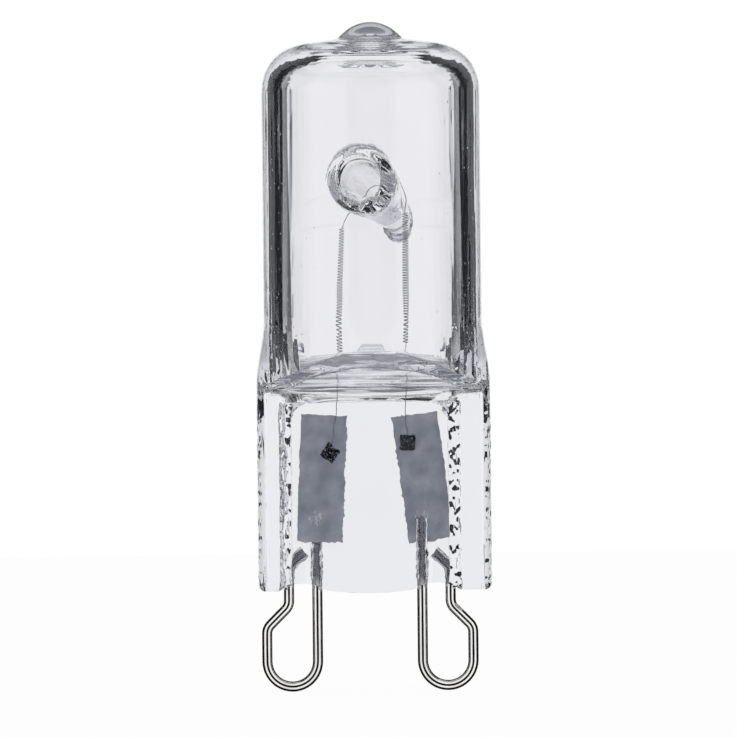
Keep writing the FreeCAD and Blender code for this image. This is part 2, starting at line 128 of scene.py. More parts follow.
# How many times each region is softened by the flame
ROOT_PASSES, TIP_PASSES, LEDGE_PASSES = 6, 5, 3

# Depth and length of the crinkles that the jaws leave
SLOPE_CRINKLE, SLOPE_CRINKLE_L = 0.06 * MM, 0.4 * MM
SLOPE_SPARKLE, SLOPE_SPARKLE_L = 0.035 * MM, 0.17 * MM
RIM_CRINKLE, RIM_CRINKLE_L = 0.03 * MM, 0.25 * MM
SHOULDER_RIDGE, SHOULDER_RIDGE_L = 0.1, 0.45 * MM
FLOOR_RIDGE, FLOOR_RIDGE_L = 0.03 * MM, 0.5 * MM
LEDGE_WAVE, LEDGE_WAVE_L = 0.08 * MM, 0.6 * MM
CREASE, CREASE_L = 0.003, 0.7 * MM

# Post
POST_MIDDLE = Vector((0.62, 0, 24.95)) * MM
POST_AXIS = Vector((0.215, 1, -0.19)).normalized()
POST_ROUND_R = 1.608 * MM
ROOT_FROM = 4.6 * MM
ROOT_OUT = 3.0 * MM
ROOT_FOOT_Z, ROOT_TOP_Z = 20.5 * MM, 30 * MM
ROOT_LEFT_X, ROOT_RIGHT_X = -4.2 * MM, 5 * MM

# Contact pins, as the wire bender makes them
PIN_R = 0.33 * MM
PIN_NECK_W = 1.82 * MM
PIN_KNEE_Z = -2.45 * MM
PIN_KNEE_R = 0.8 * MM
PIN_HOOK_R = 0.5 * MM
PIN_HOOK_GAP = 0.12 * MM
PIN_HOOK_CLEARANCE = 0.17 * MM
PIN_FLAT_Y = 0.2 * MM
PIN_FLAT_MARGIN = 0.1 * MM
PIN_FLAT_RUN_OUT = 0.06 * MM
PIN_SIDES = 28
BEND_STEP = 7.5
LEAD_OF_45 = math.tan(math.pi / 8)
SCALE_FOOT_Z, SCALE_TOP_Z = 0.2 * MM, 0.9 * MM
CAPILLARY_GAP = 0.05 * MM
CAPILLARY_FOOT_Z = 0.7 * MM
CAPILLARY_CUT = 0.1 * MM
CAPILLARY_WAVE, CAPILLARY_WAVE_L = 0.075 * MM, 0.3 * MM

# Foils and weld tabs
FOIL_W = 2.95 * MM
FOIL_L = 8.15 * MM
FOIL_SKIN = 0.012 * MM
FOIL_CELLS_W, FOIL_CELLS_L = 50, 130
FOIL_WAVE, FOIL_WAVE_L = 0.01 * MM, 1.1 * MM
LEFT_LEAN, RIGHT_LEAN = math.radians(2.5), math.radians(-7.5)
RAGGED = 0.11 * MM
INNER_EDGE, OUTER_EDGE = 1.6, 0.8
NIBBLE, NIBBLE_L = 0.6, 0.22 * MM
SWAY, SWAY_L = 0.5, 0.9 * MM
SCAR_R = 0.6 * MM
WELD_SIDE = 0.92 * MM
WELD_CUTS = 17
WELD_GRAIN, WELD_GRAIN_L = 0.06 * MM, 0.1 * MM
WELD_SLUMP, WELD_SLUMP_L = 0.22, 0.3 * MM
LEFT_TAB_TURN, RIGHT_TAB_TURN = math.radians(34.5), math.radians(3.5)

# Filament
WIRE_R = 0.026 * MM
COIL_R = 0.152 * MM
COIL_PITCH = 0.17 * MM
COIL_STEPS = 16
TURNS_AT_ONCE = 6
WIRE_SIDES = 8
LEFT_COIL_FOOT, LEFT_COIL_TOP = Vector((-2.24, 0, 15.65)) * MM, Vector((-1.92, 0, 23.2)) * MM
RIGHT_COIL_FOOT, RIGHT_COIL_TOP = Vector((2.2, 0, 16.3)) * MM, Vector((2.14, 0, 24.15)) * MM
LEFT_TAIL_X, RIGHT_TAIL_X = -2.4 * MM, 2.03 * MM
FIRST_KINK_AT, FIRST_KINK = 0.45, Vector((0.06, 0, 0)) * MM
SECOND_KINK_AT, SECOND_KINK = 0.62, Vector((-0.04, 0, 0)) * MM
TAIL_INTO_COIL = 0.1 * MM
FOIL_TOP_Z = 11.25 * MM

# Materials: the range that noise keeps to, and the sockets of a mix of colours
NOISE_LOW, NOISE_HIGH = 0.3, 0.7
MIX_FIRST, MIX_SECOND, MIX_RESULT = 6, 7, 2

# Light. An edge is the range of a direction's share over which one thing fades into the next
SWEEP_LEVEL = 0.89
SWEEP_EDGE = (0.27, 0.33)
SWEEP_LEAN = 0.25
HORIZON = (-0.004, 0.006)
FAR_LEVEL = 0.85
FAR_EDGE = (0.36, 0.48)
TABLE_LEVEL = 0.7
TABLE_EDGE = (-0.2, -0.12)
UNDER_LEVEL = 0.35
UNDER_EDGE = (-0.75, -0.5)
BEAM_FOOT, BEAM_TOP = (0.46, 0.52), (0.62, 0.68)
FRONT_DIM = 0.8
FRONT_EDGE = (-0.5, -0.1)
FRONT_BOX = 1.25
BOX_NEAR_EDGE, BOX_FAR_EDGE = (-0.95, -0.88), (-0.5, -0.3)
GLINT_EDGE = (0.935, 0.965)
CARD_Y = 14 * MM
CARD_NEAR_X, CARD_FAR_X = 10.6 * MM, 30 * MM
CARD_FOOT_Z, CARD_TOP_Z = 11.5 * MM, 60 * MM
FLOOR_R = 0.3
FLAG_LEVEL = 0.01
FLAG_CAST = (0.8, 0.85, 1)
PLAIN_LEVEL = 0.97
FLOOR_GLOW = 0.94

# Camera, with the photograph's width in pixels and the length that a pixel spans at the bulb
PHOTO_W = 737
PIXEL = 0.06432 * MM
SENSOR_W = 36
LENS_X, LENS_Z = -0.3 * MM, 14.15 * MM
LENS_DISTANCE = 0.4
LENS_ROLL = math.radians(0.58)


def finished_piece(name, bm, material, replaced):
    """Turns a bmesh into a piece that stands for a CAD node."""
    mesh = bpy.data.meshes.new(name)
    bm.to_mesh(mesh)
    bm.free()
    mesh.polygons.foreach_set("use_smooth", [True] * len(mesh.polygons))
    mesh.set_sharp_from_angle(angle=SHARP_ANGLE)
    mesh.materials.append(material)
    piece = bpy.data.objects.new(name, mesh)
    even = piece.modifiers.new("even_normals", "WEIGHTED_NORMAL")
    even.keep_sharp = True
    bpy.context.scene.collection.objects.link(piece)
    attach(piece, BODY)
    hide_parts(replaced)
    return piece


def edges_of(verts):
    return list({edge for vert in verts for edge in vert.link_edges})


def wire_end(bm, place, ahead, radius, sides):
    """The first ring of a wire, capped, square to its heading."""
    turn = UP.rotation_difference(ahead).to_matrix().to_4x4()
    made = bmesh.ops.create_circle(
        bm, cap_ends=True, segments=sides, radius=radius, matrix=Matrix.Translation(place) @ turn
    )
    return edges_of(made["verts"])


def bend_wire(bm, place, ahead, radius, sides, moves):
    """A round wire bent in one plane. A move is a straight length, or a turn's radius and degrees."""
    ring = wire_end(bm, place, ahead, radius, sides)
    for move in moves:
        if isinstance(move, tuple):
            bend_r, degrees = move
            angle = math.radians(degrees)
            centre = place + THROUGH.cross(ahead) * math.copysign(bend_r, angle)
            steps = max(2, round(abs(degrees) / BEND_STEP))
            verts = list({vert for edge in ring for vert in edge.verts})
            bent = bmesh.ops.spin(
                bm, geom=verts + ring, cent=centre, axis=THROUGH, angle=angle, steps=steps
            )["geom_last"]
            swing = Matrix.Rotation(angle, 3, THROUGH)
            place = centre + swing @ (place - centre)
            ahead = swing @ ahead
        else:
            grown = bmesh.ops.extrude_edge_only(bm, edges=ring)["geom"]
            bent = grown
            verts = [part for part in grown if isinstance(part, bmesh.types.BMVert)]
            bmesh.ops.translate(bm, verts=verts, vec=ahead * move)
            place = place + ahead * move
        ring = [part for part in bent if isinstance(part, bmesh.types.BMEdge)]
        ends = {vert for vert in bent if isinstance(vert, bmesh.types.BMVert)}
        ring = [edge for edge in ring if edge.verts[0] in ends and edge.verts[1] in ends]
    bmesh.ops.edgeloop_fill(bm, edges=ring)
    return place


def is_sealed_in(face):
    """True for a face of the pockets that the pinch closes round its foils and wires."""
    return any(
        abs(vert.co.x) < SEALED_X and abs(vert.co.y) < SEALED_Y and FOOT_Z < vert.co.z < SEALED_TOP_Z
        for vert in face.verts
    )


def cut_across(bm, chosen, normal, places):
    """Cuts the chosen faces with parallel planes, so that they can be worked finely."""
    faces = [face for face in bm.faces if chosen(face)]
    verts = list({vert for face in faces for vert in face.verts})
    edges = list({edge for face in faces for edge in face.edges})
    worked = faces + edges + verts
    for place in places:
        worked = bmesh.ops.bisect_plane(
            bm, geom=worked, plane_co=normal * place, plane_no=normal, dist=MERGE
        )["geom"]


def spaced(first, last, step):
    count = round((last - first) / step)
    return [first + step * number for number in range(count + 1)]


def from_post(point):
    """How far a point is from the post's axis."""
    beside = point - POST_MIDDLE
    return (beside - POST_AXIS * beside.dot(POST_AXIS)).length


def is_tube(face):
    """True for the walls of the tube, inside and out."""
    return max(vert.co.z for vert in face.verts) > SHOULDER_TOP_Z


def is_knuckle(face):
    """True for the round between the tube and its crown, inside and out."""
    return max(vert.co.z for vert in face.verts) > KNUCKLE_FOOT_Z


def is_tip(face):
    """True for the melted tip and the crown round it, inside and out."""
    middle = face.calc_center_median()
    return math.hypot(middle.x, middle.y) < TIP_OUT and middle.z > TIP_FOOT_Z


def is_post_root(face):
    """True for the post's roots, the mouths of its dimples and the walls round them."""
    middle = face.calc_center_median()
    along = abs((middle - POST_MIDDLE).dot(POST_AXIS))
    return along > ROOT_FROM and from_post(middle) < ROOT_OUT


def is_slope(face):
    """True for the sloped sides of the pinch's two recesses."""
    middle = face.calc_center_median()
    beside = abs(abs(middle.x - PANEL_X) - SLOPE_X) < SLOPE_HALF_W
    return beside and abs(face.normal.x) > LEANING and abs(middle.y) > PANEL_Y and middle.z < PANEL_TOP_Z


def is_ledge(face):
    """True for the pressed edge between the panel and the shoulder."""
    middle = face.calc_center_median()
    return LEDGE_IN_Y < abs(middle.y) < LEDGE_OUT_Y and abs(middle.z - LEDGE_Z) < LEDGE_HALF_H


def is_shoulder(face):
    """True for the pressed shoulder, outside the chamber."""
    middle = face.calc_center_median()
    across = abs(middle.y) > SHOULDER_Y and PANEL_TOP_Z < middle.z < SHOULDER_TOP_Z
    return across and face.normal.z < -LEANING


def is_chamber_floor(face):
    """True for the closed end of the chamber, above the pinch."""
    middle = face.calc_center_median()
    out = math.hypot(middle.x, middle.y)
    return out < CHAMBER_FLOOR_R and middle.z < FLARE_TOP_Z and face.normal.z > LEANING


def is_rim_edge(face):
    """True for the outer sides of the pinch's rims and their rounded edges."""
    middle = face.calc_center_median()
    return abs(middle.x) > RIM_EDGE_X and FOOT_Z < middle.z < PANEL_TOP_Z


def is_flare_side(face):
    """True for the outside of the tube's foot, left and right, where the pinch creased it."""
    middle = face.calc_center_median()
    out = math.hypot(middle.x, middle.y)
    return abs(middle.x) > FLARE_SIDE_X and out > FLARE_R and CREASE_FOOT_Z < middle.z < CREASE_TOP_Z


def dome_radius(height, wall_r, knuckle_r, crown_r, top_z):
    """The radius of a tube and its knuckle at a height, or None up on the crown."""
    crown_z = top_z - crown_r
    knuckle_x = wall_r - knuckle_r
    knuckle_z = crown_z + math.sqrt((crown_r - knuckle_r) ** 2 - knuckle_x**2)
    joint_z = crown_z + (knuckle_z - crown_z) * crown_r / (crown_r - knuckle_r)
    if height > joint_z:
        return None
    climb = max(height - knuckle_z, 0)
    return knuckle_x + math.sqrt(knuckle_r**2 - climb**2)


def true_up_tube(bm):
    """Puts the points that the cuts made back on the round of the tube and its knuckle, inside and out."""
    outside = (TUBE_R, KNUCKLE_R, CROWN_R, CROWN_TOP_Z)
    inside = (BORE_R, KNUCKLE_R - WALL, CROWN_R - WALL, CROWN_TOP_Z - WALL)
    for vert in bm.verts:
        if vert.co.z < FLARE_TOP_Z or from_post(vert.co) < ROOT_OUT:
            continue
        out = math.hypot(vert.co.x, vert.co.y)
        for wall in (outside, inside):
            true_r = dome_radius(vert.co.z, *wall)
            if true_r and abs(out - true_r) < FACET_DEPTH:
                vert.co.x *= true_r / out
                vert.co.y *= true_r / out


def lumps(point, size, seed):
    """Smooth bumps of about a size, from -1 to 1."""
    return noise.noise(point / size + Vector((seed, seed * 1.7, seed * 0.3)))


def verts_within(bm, chosen):
    """The vertices that have only chosen faces round them."""
    faces = [face for face in bm.faces if chosen(face)]
    inside = set(faces)
    verts = {vert for face in faces for vert in face.verts}
    return [vert for vert in verts if all(face in inside for face in vert.link_faces)]


def roughen(bm, chosen, height):
    """Moves the vertices of the chosen faces along their normals by a height given at each point."""
    for vert in verts_within(bm, chosen):
        vert.co += vert.normal * height(vert.co)


def soften(bm, chosen, passes):
    """Melts the chosen faces together, as a flame rounds pressed glass."""
    verts = verts_within(bm, chosen)
    for _ in range(passes):
        bmesh.ops.smooth_vert(
            bm, verts=verts, factor=0.5, use_axis_x=True, use_axis_y=True, use_axis_z=True
        )


def add_to(bm, made):
    """Adds one finished bmesh to another."""
    mesh = bpy.data.meshes.new("made")
    made.to_mesh(mesh)
    made.free()
    bm.from_mesh(mesh)
    bpy.data.meshes.remove(mesh)


def bubbles(rng):
    """Small gas bubbles drawn long in the tube's wall, thicker on the ground towards the shoulder."""
    bm = bmesh.new()
    for _ in range(BUBBLES):
        turn = rng.gauss(0, BUBBLE_SPREAD) + math.pi * rng.randrange(2)
        out = rng.uniform(BORE_R + BUBBLE_FROM_BORE, TUBE_R - BUBBLE_FROM_SKIN)
        height = SHOULDER_TOP_Z + (KNUCKLE_FOOT_Z - SHOULDER_TOP_Z) * rng.random() ** BUBBLE_CROWDING
        radius = rng.uniform(BUBBLE_LEAST_R, BUBBLE_MOST_R)
        place = Matrix.Translation((out * math.cos(turn), out * math.sin(turn), height))
        stretch = Matrix.Diagonal((1, 1, rng.uniform(1, BUBBLE_STRETCH), 1))
        bmesh.ops.create_icosphere(bm, subdivisions=1, radius=radius, matrix=place @ stretch)
    air_line_l = AIR_LINE_TOP_Z - AIR_LINE_FOOT_Z
    place = Matrix.Translation((AIR_LINE_X, 0, AIR_LINE_FOOT_Z + air_line_l / 2))
    stretch = Matrix.Diagonal((AIR_LINE_R, AIR_LINE_R, air_line_l / 2, 1))
    bmesh.ops.create_icosphere(bm, subdivisions=3, radius=1, matrix=place @ stretch)
    bmesh.ops.reverse_faces(bm, faces=bm.faces)
    return bm


def capillary(start, ahead, moves, seed):
    """The crooked air gap round a wire in the pinch, where the quartz never wetted it."""
    bm = bmesh.new()
    bend_wire(bm, start, ahead, PIN_R + CAPILLARY_GAP, PIN_SIDES, moves)
    cut_across(bm, lambda face: True, UP, spaced(CAPILLARY_FOOT_Z, start.z, CAPILLARY_CUT))
    bmesh.ops.recalc_face_normals(bm, faces=bm.faces)
    for vert in bm.verts:
        vert.co += vert.normal * CAPILLARY_WAVE * lumps(vert.co, CAPILLARY_WAVE_L, seed)
    bmesh.ops.reverse_faces(bm, faces=bm.faces)
    return bm


def pin_capillaries(bm, side, pin_name, foil_name):
    """The air gaps round the two ends of one contact pin."""
    leg, moves = pin_moves(side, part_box(pin_name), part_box(foil_name))
    foil_low, foil_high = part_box(foil_name)
    foil_before_pin = foil_high[1] < 0
    gap_top = Vector((leg.x, 0, foil_low[2] - CAPILLARY_GAP if foil_before_pin else leg.z))
    add_to(bm, capillary(gap_top, -UP, [gap_top.z - CAPILLARY_FOOT_Z], 2 + side))
    hook_w, hook_end_z = hook_size(foil_low[2])
    hook = Vector((leg.x + side * (PIN_NECK_W - hook_w), 0, hook_end_z))
    slant = Vector((side, 0, -1)).normalized()
    down = hook_end_z - hook_w - PIN_HOOK_R * LEAD_OF_45 - CAPILLARY_FOOT_Z
    add_to(bm, capillary(hook, slant, [moves[-1], (PIN_HOOK_R, side * 45), down], 6 + side))


def ridge_height(point):
    """The shoulder's ridges run out towards the tube."""
    return SHOULDER_RIDGE * min(MM, SHOULDER_TOP_Z - point.z)


def crease_height(point):
    """The flare's creases deepen towards the bulb's sides."""
    return CREASE * (abs(point.x) - FLARE_SIDE_X)


def quartz_body():
    """The glass in one piece: the CAD form, closed over what the pinch holds, with lumps and bubbles."""
    bm = bmesh.new()
    bm.from_mesh(nodes["glass_envelope"].data)
    bmesh.ops.remove_doubles(bm, verts=bm.verts, dist=MERGE)
    bm.normal_update()
    bmesh.ops.delete(bm, geom=[face for face in bm.faces if is_sealed_in(face)], context="FACES")
    bmesh.ops.holes_fill(bm, edges=bm.edges, sides=0)
    across = THROUGH.cross(UP)

    cut_across(bm, is_tube, UP, spaced(SHOULDER_TOP_Z, KNUCKLE_FOOT_Z, TUBE_CUT))
    cut_across(bm, is_knuckle, UP, spaced(KNUCKLE_FOOT_Z, CROWN_TOP_Z, KNUCKLE_CUT))
    true_up_tube(bm)
    cut_across(bm, is_post_root, UP, spaced(ROOT_FOOT_Z, ROOT_TOP_Z, ROOT_CUT))
    cut_across(bm, is_post_root, across, spaced(ROOT_LEFT_X, ROOT_RIGHT_X, ROOT_CUT))
    soften(bm, is_post_root, ROOT_PASSES)
    soften(bm, is_tip, TIP_PASSES)

    cut_across(bm, is_slope, UP, spaced(CUT_FROM_Z, PANEL_TOP_Z, SLOPE_CUT))
    cut_across(bm, is_slope, THROUGH, spaced(-RIM_Y, RIM_Y, SLOPE_CUT))
    cut_across(bm, is_rim_edge, UP, spaced(CUT_FROM_Z, PANEL_TOP_Z, RIM_CUT))
    cut_across(bm, is_rim_edge, THROUGH, spaced(-RIM_Y, RIM_Y, RIM_CUT))
    cut_across(bm, is_shoulder, THROUGH, spaced(-TUBE_R, TUBE_R, SHOULDER_CUT_Y))
    cut_across(bm, is_shoulder, across, spaced(-TUBE_R, TUBE_R, SHOULDER_CUT_X))
    cut_across(bm, is_chamber_floor, THROUGH, spaced(-BORE_R, BORE_R, FLOOR_CUT_Y))
    cut_across(bm, is_chamber_floor, across, spaced(-BORE_R, BORE_R, FLOOR_CUT_X))
    cut_across(bm, is_ledge, UP, spaced(LEDGE_Z - MM, LEDGE_Z + MM, LEDGE_CUT_Z))
    cut_across(bm, is_ledge, across, spaced(-TUBE_R, TUBE_R, LEDGE_CUT_X))
    cut_across(bm, is_flare_side, UP, spaced(LEDGE_Z, CREASE_TOP_Z, CREASE_CUT_Z))
    cut_across(bm, is_flare_side, THROUGH, spaced(-CREASE_HALF_Y, CREASE_HALF_Y, CREASE_CUT_Y))
    bm.normal_update()

    drawn_up = Matrix.Diagonal((1, 1, 0.5))
    drawn_across = Matrix.Diagonal((0.12, 1, 1))
    wavy_across = Matrix.Diagonal((0.3, 1, 1))
    roughen(bm, is_slope, lambda at: SLOPE_CRINKLE * lumps(drawn_up @ at, SLOPE_CRINKLE_L, 3))
    roughen(bm, is_slope, lambda at: SLOPE_SPARKLE * lumps(drawn_up @ at, SLOPE_SPARKLE_L, 13))
    roughen(bm, is_rim_edge, lambda at: RIM_CRINKLE * lumps(drawn_up @ at, RIM_CRINKLE_L, 15))
    roughen(bm, is_shoulder, lambda at: ridge_height(at) * lumps(drawn_across @ at, SHOULDER_RIDGE_L, 8))
    roughen(bm, is_chamber_floor, lambda at: FLOOR_RIDGE * lumps(drawn_across @ at, FLOOR_RIDGE_L, 11))
    roughen(bm, is_ledge, lambda at: LEDGE_WAVE * lumps(wavy_across @ at, LEDGE_WAVE_L, 4))
    soften(bm, is_ledge, LEDGE_PASSES)
    roughen(bm, is_flare_side, lambda at: crease_height(at) * lumps(drawn_up @ at, CREASE_L, 6))

    bmesh.ops.dissolve_degenerate(bm, dist=MERGE, edges=bm.edges)
    add_to(bm, bubbles(random.Random(5)))
    pin_capillaries(bm, LEFT, "left_contact_pin", "left_foil")
    pin_capillaries(bm, RIGHT, "right_contact_pin", "right_foil")
    return finished_piece("quartz_body", bm, quartz(), "glass_envelope")


def hook_size(foil_foot_z):
    """How far a pin's hooked end reaches across, and the height at which it ends under the foil."""
    return PIN_NECK_W - 2 * PIN_R - PIN_HOOK_GAP, foil_foot_z - PIN_R - PIN_HOOK_CLEARANCE


def pin_moves(side, box, foil_box):
    """The bender's moves for one loop, from the welded end of the inner leg round to the hooked end."""
    low, high = box
    loop_r = (high[0] - low[0]) / 2 - PIN_R
    inner_x = (high[0] if side == LEFT else low[0]) + side * PIN_R
    top_z = high[2]
    loop_z = low[2] + PIN_R + loop_r
    knee = 2 * loop_r - PIN_NECK_W
    neck_z = PIN_KNEE_Z + knee
    hook_w, hook_end_z = hook_size(foil_box[0][2])
    hook_z = hook_end_z - hook_w
    moves = [
        top_z - loop_z,
        (loop_r, -side * 180),
        PIN_KNEE_Z - loop_z - PIN_KNEE_R * LEAD_OF_45,
        (PIN_KNEE_R, -side * 45),
        math.sqrt(2) * knee - 2 * PIN_KNEE_R * LEAD_OF_45,
        (PIN_KNEE_R, side * 45),
        hook_z - neck_z - (PIN_KNEE_R + PIN_HOOK_R) * LEAD_OF_45,
        (PIN_HOOK_R, -side * 45),
        math.sqrt(2) * hook_w - PIN_HOOK_R * LEAD_OF_45,
    ]
    return Vector((inner_x, 0, top_z)), moves


def contact_pin(name, side, foil_name):
    """One wire loop, with its inner leg pressed flat where the foil is welded on."""
    bm = bmesh.new()
    start, moves = pin_moves(side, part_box(name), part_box(foil_name))
    bend_wire(bm, start, -UP, PIN_R, PIN_SIDES, moves)
    flat_foot_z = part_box(foil_name)[0][2] - PIN_FLAT_MARGIN
    flat_z = flat_foot_z + PIN_FLAT_RUN_OUT
    foil_side = math.copysign(1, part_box(foil_name)[0][1])
    cut_across(bm, lambda face: True, UP, (flat_foot_z, flat_z))
    for vert in bm.verts:
        pressed = vert.co.z > flat_z - MERGE and abs(vert.co.x - start.x) < 2 * PIN_R
        if pressed and vert.co.y * foil_side > PIN_FLAT_Y:
            vert.co.y = foil_side * PIN_FLAT_Y
    bmesh.ops.recalc_face_normals(bm, faces=bm.faces)
    return finished_piece(name.replace("contact_pin", "pin_wire"), bm, nickel(), name)


def foil(name, lean, side, pin_name):
    """A sealing foil with edges etched thin and ragged, scarred where the pin is welded on."""
    low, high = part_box(name)
    middle = (Vector(low) + Vector(high)) / 2
    pin_low, pin_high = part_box(pin_name)
    weld = Vector(((pin_high[0] if side == LEFT else pin_low[0]) + side * PIN_R, middle.y, pin_high[2]))
    bm = bmesh.new()
    upright = Matrix.Rotation(math.pi / 2, 4, "X")
    size = Matrix.Diagonal((FOIL_W / 2, FOIL_L / 2, 1, 1))
    bmesh.ops.create_grid(
        bm, x_segments=FOIL_CELLS_W, y_segments=FOIL_CELLS_L, size=1, matrix=upright @ size
    )
    for vert in bm.verts:
        if vert.is_boundary:
            outward = Vector((vert.co.x / FOIL_W, 0, vert.co.z / FOIL_L)).normalized()
            etched = INNER_EDGE if vert.co.x * side < 0 else OUTER_EDGE
            ragged = NIBBLE * lumps(vert.co, NIBBLE_L, 4 + side) + SWAY * lumps(vert.co, SWAY_L, side)
            vert.co += outward * RAGGED * etched * ragged
        vert.co.y += FOIL_WAVE * lumps(vert.co, FOIL_WAVE_L, 9 + side)
    bmesh.ops.solidify(bm, geom=bm.faces[:], thickness=2 * FOIL_SKIN)
    place = Matrix.Translation(middle) @ Matrix.Rotation(lean, 4, "Y")
    bmesh.ops.transform(bm, matrix=place, verts=bm.verts)
    bmesh.ops.recalc_face_normals(bm, faces=bm.faces)
    scar = bm.verts.layers.float.new("scar")
    for vert in bm.verts:
        vert[scar] = max(0, 1 - (vert.co - weld).length / SCAR_R)
    return finished_piece(name.replace("foil", "seal_foil"), bm, molybdenum(), name)


def weld_tab(name, turn, seed):
    """A burnt, crumbly square of weld."""
    low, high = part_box(name)
    middle = (Vector(low) + Vector(high)) / 2
    bm = bmesh.new()
    shape = Matrix.Diagonal((WELD_SIDE, high[1] - low[1], WELD_SIDE, 1))
    place = Matrix.Translation(middle) @ Matrix.Rotation(turn, 4, "Y")
    bmesh.ops.create_cube(bm, size=1, matrix=place @ shape)
    bmesh.ops.subdivide_edges(bm, edges=bm.edges[:], cuts=WELD_CUTS, use_grid_fill=True)
    bm.normal_update()
    for vert in bm.verts:
        vert.co += vert.normal * WELD_GRAIN * lumps(vert.co, WELD_GRAIN_L, seed)
        vert.co += (vert.co - middle) * WELD_SLUMP * lumps(vert.co, WELD_SLUMP_L, seed + 5)
    return finished_piece(name.replace("weld_tab", "weld_spot"), bm, weld(), name)


def coil_limb(bm, foot, top):
    """One close-wound limb of the filament."""
    along = top - foot
    lengths = round(along.length / (COIL_PITCH * TURNS_AT_ONCE))
    rise = along.length / lengths
    steps = TURNS_AT_ONCE * COIL_STEPS
    coil = bmesh.new()
    made = bmesh.ops.create_circle(
        coil, segments=WIRE_SIDES, radius=WIRE_R,
        matrix=Matrix.Translation((COIL_R, 0, 0)) @ Matrix.Rotation(math.pi / 2, 4, "X"),
    )
    bmesh.ops.spin(
        coil, geom=made["verts"] + edges_of(made["verts"]), cent=(0, 0, 0), axis=UP,
        dvec=UP * (rise / steps), angle=2 * math.pi * TURNS_AT_ONCE, steps=steps,
    )
    first = coil.verts[:] + coil.edges[:] + coil.faces[:]
    for number in range(1, lengths):
        copied = bmesh.ops.duplicate(coil, geom=first)["geom"]
        verts = [part for part in copied if isinstance(part, bmesh.types.BMVert)]
        bmesh.ops.translate(coil, verts=verts, vec=UP * rise * number)
    bmesh.ops.remove_doubles(coil, verts=coil.verts, dist=MERGE)
    bmesh.ops.edgeloop_fill(coil, edges=[edge for edge in coil.edges if edge.is_boundary])
    place = Matrix.Translation(foot) @ UP.rotation_difference(along).to_matrix().to_4x4()
    bmesh.ops.transform(coil, matrix=place, verts=coil.verts)
    add_to(bm, coil)


def touch_angle(point, side):
    """How far round the post a straight wire from a point touches it, from X towards Z."""
    spoke = point - POST_MIDDLE
    return math.atan2(spoke.z, spoke.x) + side * math.acos(POST_ROUND_R / spoke.length)


def bridge(bm, left_top, right_top):
    """The plain wire from one limb up, over the post and down to the other."""
    left_touch, right_touch = touch_angle(left_top, LEFT), touch_angle(right_top, RIGHT)
    on_post = POST_MIDDLE + POST_ROUND_R * Vector((math.cos(left_touch), 0, math.sin(left_touch)))
    off_post = POST_MIDDLE + POST_ROUND_R * Vector((math.cos(right_touch), 0, math.sin(right_touch)))
    over = math.degrees(left_touch - right_touch) % 360
    climb = on_post - left_top
    moves = [climb.length, (POST_ROUND_R, over), (right_top - off_post).length]
    bend_wire(bm, left_top, climb.normalized(), WIRE_R, WIRE_SIDES, moves)


def tail(bm, tab_name, coil_foot, tail_x):
    """The plain wire below a limb, kinked where it lies on its foil, down to the weld."""
    low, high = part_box(tab_name)
    start = Vector(((low[0] + high[0]) / 2, high[1] - WIRE_R, (low[2] + high[2]) / 2))
    turning = Vector((tail_x, start.y, FOIL_TOP_Z))
    first = start.lerp(turning, FIRST_KINK_AT) + FIRST_KINK
    second = start.lerp(turning, SECOND_KINK_AT) + SECOND_KINK
    route = [start, first, second, turning, coil_foot + UP * TAIL_INTO_COIL]
    ring = wire_end(bm, route[0], (route[1] - route[0]).normalized(), WIRE_R, WIRE_SIDES)
    for begin, end in zip(route, route[1:]):
        grown = bmesh.ops.extrude_edge_only(bm, edges=ring)["geom"]
        verts = [part for part in grown if isinstance(part, bmesh.types.BMVert)]
        bmesh.ops.translate(bm, verts=verts, vec=end - begin)
        ring = [part for part in grown if isinstance(part, bmesh.types.BMEdge)]
        ring = [edge for edge in ring if edge.verts[0] in verts and edge.verts[1] in verts]
    bmesh.ops.edgeloop_fill(bm, edges=ring)


def filament():
    """The tungsten wire: two coiled limbs, the bridge over the post and the tails to the weld spots."""
    bm = bmesh.new()
    coil_limb(bm, LEFT_COIL_FOOT, LEFT_COIL_TOP)
    coil_limb(bm, RIGHT_COIL_FOOT, RIGHT_COIL_TOP)
    bridge(bm, LEFT_COIL_TOP, RIGHT_COIL_TOP)
    tail(bm, "left_weld_tab", LEFT_COIL_FOOT, LEFT_TAIL_X)
    tail(bm, "right_weld_tab", RIGHT_COIL_FOOT, RIGHT_TAIL_X)
    return finished_piece("filament_wire", bm, tungsten(), "filament")


